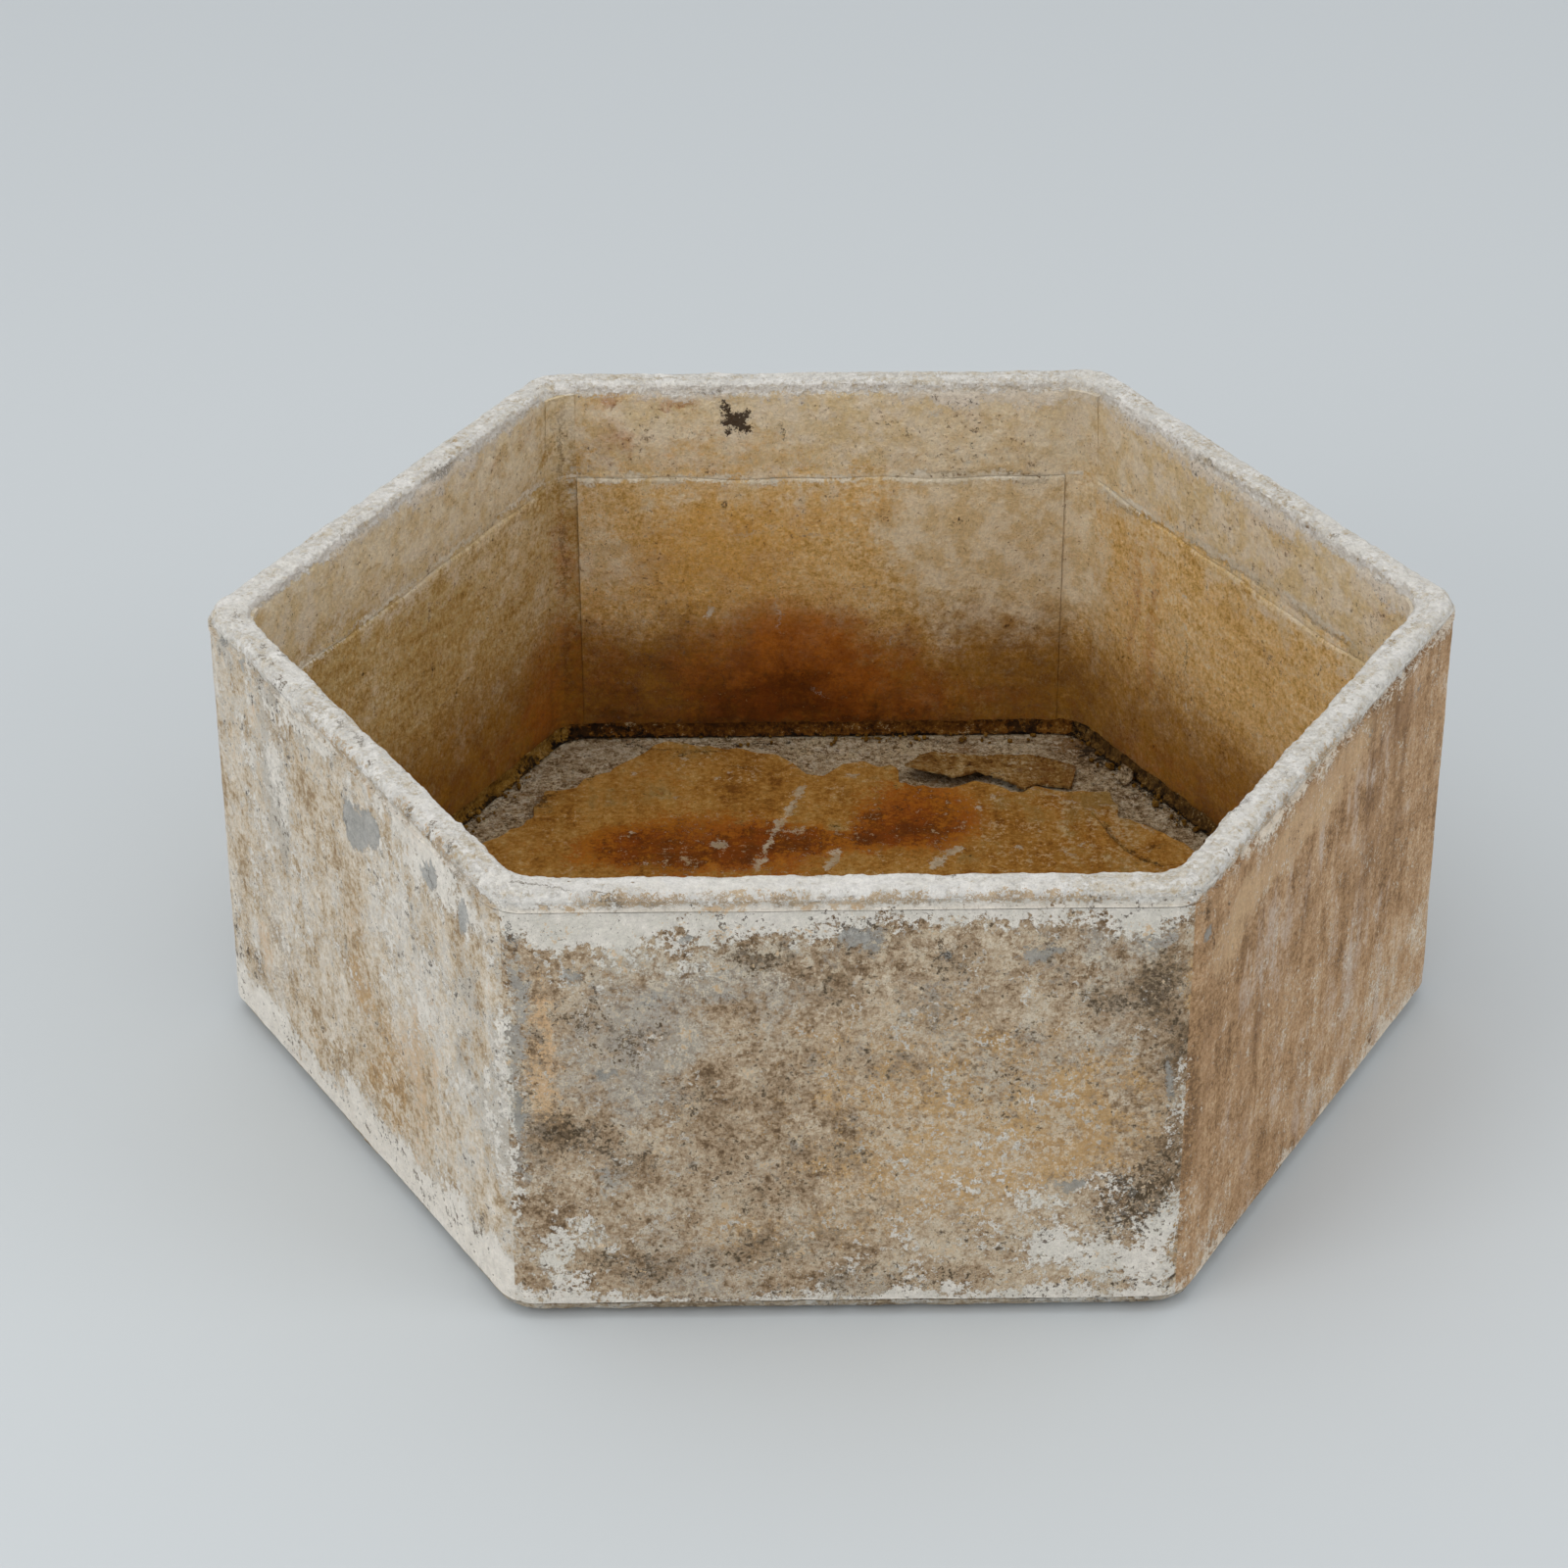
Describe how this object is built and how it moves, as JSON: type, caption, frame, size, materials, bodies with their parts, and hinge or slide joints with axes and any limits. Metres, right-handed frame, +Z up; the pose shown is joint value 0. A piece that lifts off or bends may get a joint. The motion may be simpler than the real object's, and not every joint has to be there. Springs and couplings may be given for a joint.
{
  "type": "planter",
  "caption": "Low hexagonal fibre cement planter with rounded corners, a folded rim and a torn, rust-stained floor.",
  "frame": {"origin": "middle of the underside, on the surface that the planter stands on", "axes": "+Z up through the open top; two opposite corners lie on the X axis and the front side faces -Y"},
  "size_m": [0.7936, 0.6944, 0.303],
  "materials": {
    "base_sheet": "weathered fibre cement, matt",
    "pebbly_backing": "bare pebbly fibre cement, matt",
    "floor_ply": "rust-stained fibre cement, matt",
    "weathered_wall": "weathered limewash over fibre cement, matt",
    "chalky_rim": "chalky flaking limewash, matt",
    "ochre_lining": "stained fibre cement, matt",
    "corner_strip": "stained fibre cement, matt",
    "floor_cove": "dirty crumbling cement, matt"
  },
  "bodies": {
    "root": {"base_sheet": "base_sheet", "floor_backing_ply": "pebbly_backing", "floor_ply": "floor_ply", "floor_ply_flap": "floor_ply", "floor_ply_chip": "pebbly_backing", "wall_sheet_front": "weathered_wall", "wall_sheet_front_right": "weathered_wall", "wall_sheet_back_right": "weathered_wall", "wall_sheet_back": "weathered_wall", "wall_sheet_back_left": "weathered_wall", "wall_sheet_front_left": "weathered_wall", "rim_collar_front": "chalky_rim", "rim_collar_front_right": "chalky_rim", "rim_collar_back_right": "chalky_rim", "rim_collar_back": "chalky_rim", "rim_collar_back_left": "chalky_rim", "rim_collar_front_left": "chalky_rim", "lining_sheet_front": "ochre_lining", "lining_sheet_front_right": "ochre_lining", "lining_sheet_back_right": "ochre_lining", "lining_sheet_back": "ochre_lining", "lining_sheet_back_left": "ochre_lining", "lining_sheet_front_left": "ochre_lining", "corner_strip_front_left": "corner_strip", "corner_strip_front_right": "corner_strip", "corner_strip_right": "corner_strip", "corner_strip_back_right": "corner_strip", "corner_strip_back_left": "corner_strip", "corner_strip_left": "corner_strip", "floor_cove_front": "floor_cove", "floor_cove_front_right": "floor_cove", "floor_cove_back_right": "floor_cove", "floor_cove_back": "floor_cove", "floor_cove_back_left": "floor_cove", "floor_cove_front_left": "floor_cove"}
  },
  "joints": []
}
